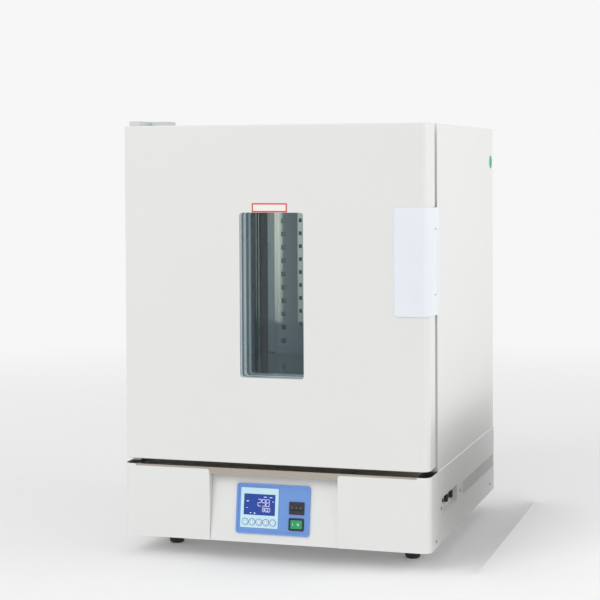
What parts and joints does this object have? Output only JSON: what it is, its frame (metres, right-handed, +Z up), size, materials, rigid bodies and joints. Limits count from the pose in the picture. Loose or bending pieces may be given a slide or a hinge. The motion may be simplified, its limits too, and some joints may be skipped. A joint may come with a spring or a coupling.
{
  "type": "forced-air drying oven",
  "caption": "Bench-top drying oven with a windowed side-hinged door, wire shelves, a rear fan and a tilted control panel.",
  "frame": {"origin": "on the floor under the middle of the whole oven", "axes": "+X to the right as seen by the user, +Y to the back, +Z up; the door faces -Y"},
  "size_m": [0.5866, 0.662, 0.8055],
  "materials": {
    "cabinet_paint": "satin",
    "door_paint": "satin",
    "stainless": "satin",
    "mirror_stainless": "polished",
    "zinc_plate": "satin",
    "shelf_chrome": "polished",
    "heater_sheath": "matte",
    "impeller_metal": "satin",
    "motor_metal": "satin",
    "bush_brass": "satin",
    "handle_plastic": "satin",
    "hinge_plastic": "satin",
    "bezel_plastic": "satin",
    "controller_plastic": "satin",
    "display_glass": "gloss",
    "key_plastic": "satin",
    "black_plastic": "satin",
    "rocker_plastic": "gloss",
    "window_glass": "gloss",
    "gasket_silicone": "matte",
    "foot_rubber": "matte",
    "mineral_wool": "matte",
    "board_laminate": "satin"
  },
  "bodies": {
    "cabinet": {"outer_shell": "cabinet_paint", "front_frame": "cabinet_paint", "rear_panel": "cabinet_paint", "inner_chamber": "mirror_stainless", "insulation": "mineral_wool", "floor_plate": "mirror_stainless", "duct_cover": "mirror_stainless", "shelf_uprights": "stainless", "shelf_clips": "stainless", "upper_shelf": "shelf_chrome", "lower_shelf": "shelf_chrome", "heater_element": "heater_sheath", "sensor_probes": "stainless", "fan_motor": "motor_metal", "motor_cover": "cabinet_paint", "exhaust_pipe": "stainless", "door_gasket": "gasket_silicone", "latch_striker": "zinc_plate", "hinge_arms": "zinc_plate", "hinge_cover": "hinge_plastic", "base_tray": "cabinet_paint", "base_front_left": "cabinet_paint", "base_front_right": "cabinet_paint", "base_side_left": "cabinet_paint", "base_side_right": "cabinet_paint", "base_rear": "cabinet_paint", "steel_ledge": "stainless", "control_panel": "cabinet_paint", "panel_bezel": "bezel_plastic", "controller_case": "controller_plastic", "display_window": "display_glass", "thumbwheel_case": "black_plastic", "switch_case": "black_plastic", "side_pocket": "cabinet_paint", "fuse_holders": "black_plastic", "power_inlet": "black_plastic", "base_electronics": "board_laminate", "rubber_feet": "foot_rubber", "panel_screws": "zinc_plate"},
    "door": {"door_skin": "door_paint", "door_pan": "door_paint", "door_insulation": "mineral_wool", "window_frame": "mirror_stainless", "window_glass": "window_glass", "hinge_bushes": "bush_brass", "handle_cover": "handle_plastic"},
    "lever": {"handle_lever": "handle_plastic"},
    "rocker_button": {"rocker": "rocker_plastic"},
    "fan": {"fan_impeller": "impeller_metal"},
    "damper": {"exhaust_damper": "stainless"},
    "key_button_1": {"key_1": "key_plastic"},
    "key_button_2": {"key_2": "key_plastic"},
    "key_button_3": {"key_3": "key_plastic"},
    "key_button_4": {"key_4": "key_plastic"},
    "key_button_5": {"key_5": "key_plastic"},
    "digit_wheel_1": {"thumbwheel_1": "black_plastic"},
    "digit_wheel_2": {"thumbwheel_2": "black_plastic"},
    "digit_wheel_3": {"thumbwheel_3": "black_plastic"},
    "fuse_button_1": {"fuse_cap_1": "black_plastic"},
    "fuse_button_2": {"fuse_cap_2": "black_plastic"}
  },
  "joints": [
    {"name": "door_hinge", "type": "hinge", "parent": "cabinet", "child": "door", "pos_m": [-0.2735, -0.294, 0.18], "axis": [0, 0, -1], "range_deg": [0, 110]},
    {"name": "lever_pivot", "type": "hinge", "parent": "door", "child": "lever", "pos_m": [0.2908, -0.2968, 0.5495], "axis": [0, 0, -1], "range_deg": [0, 14], "stiffness_Nm_per_rad": 0.6},
    {"name": "rocker_tilt", "type": "hinge", "parent": "cabinet", "child": "rocker_button", "pos_m": [0.043, -0.32221, 0.07297], "axis": [0, -0.142, -0.9899], "range_deg": [0, 16]},
    {"name": "fan_spin", "type": "hinge", "parent": "cabinet", "child": "fan", "pos_m": [0, 0.281, 0.526], "axis": [0, 1, 0], "continuous": true},
    {"name": "damper_turn", "type": "hinge", "parent": "cabinet", "child": "damper", "pos_m": [0.12, 0.297, 0.668], "axis": [1, 0, 0], "range_deg": [0, 90]},
    {"name": "key_1_press", "type": "slide", "parent": "cabinet", "child": "key_button_1", "axis": [0, 0.9899, -0.142], "range_m": [0, 0.0006], "stiffness_N_per_m": 800},
    {"name": "key_2_press", "type": "slide", "parent": "cabinet", "child": "key_button_2", "axis": [0, 0.9899, -0.142], "range_m": [0, 0.0006], "stiffness_N_per_m": 800},
    {"name": "key_3_press", "type": "slide", "parent": "cabinet", "child": "key_button_3", "axis": [0, 0.9899, -0.142], "range_m": [0, 0.0006], "stiffness_N_per_m": 800},
    {"name": "key_4_press", "type": "slide", "parent": "cabinet", "child": "key_button_4", "axis": [0, 0.9899, -0.142], "range_m": [0, 0.0006], "stiffness_N_per_m": 800},
    {"name": "key_5_press", "type": "slide", "parent": "cabinet", "child": "key_button_5", "axis": [0, 0.9899, -0.142], "range_m": [0, 0.0006], "stiffness_N_per_m": 800},
    {"name": "digit_wheel_1_turn", "type": "hinge", "parent": "cabinet", "child": "digit_wheel_1", "pos_m": [0.035, -0.31401, 0.10088], "axis": [1, 0, 0], "continuous": true},
    {"name": "digit_wheel_2_turn", "type": "hinge", "parent": "cabinet", "child": "digit_wheel_2", "pos_m": [0.043, -0.31401, 0.10088], "axis": [1, 0, 0], "continuous": true},
    {"name": "digit_wheel_3_turn", "type": "hinge", "parent": "cabinet", "child": "digit_wheel_3", "pos_m": [0.051, -0.31401, 0.10088], "axis": [1, 0, 0], "continuous": true},
    {"name": "fuse_cap_1_turn", "type": "hinge", "parent": "cabinet", "child": "fuse_button_1", "pos_m": [0.2795, -0.1545, 0.102], "axis": [1, 0, 0], "range_deg": [0, 45]},
    {"name": "fuse_cap_2_turn", "type": "hinge", "parent": "cabinet", "child": "fuse_button_2", "pos_m": [0.2795, -0.114, 0.102], "axis": [1, 0, 0], "range_deg": [0, 45]}
  ]
}
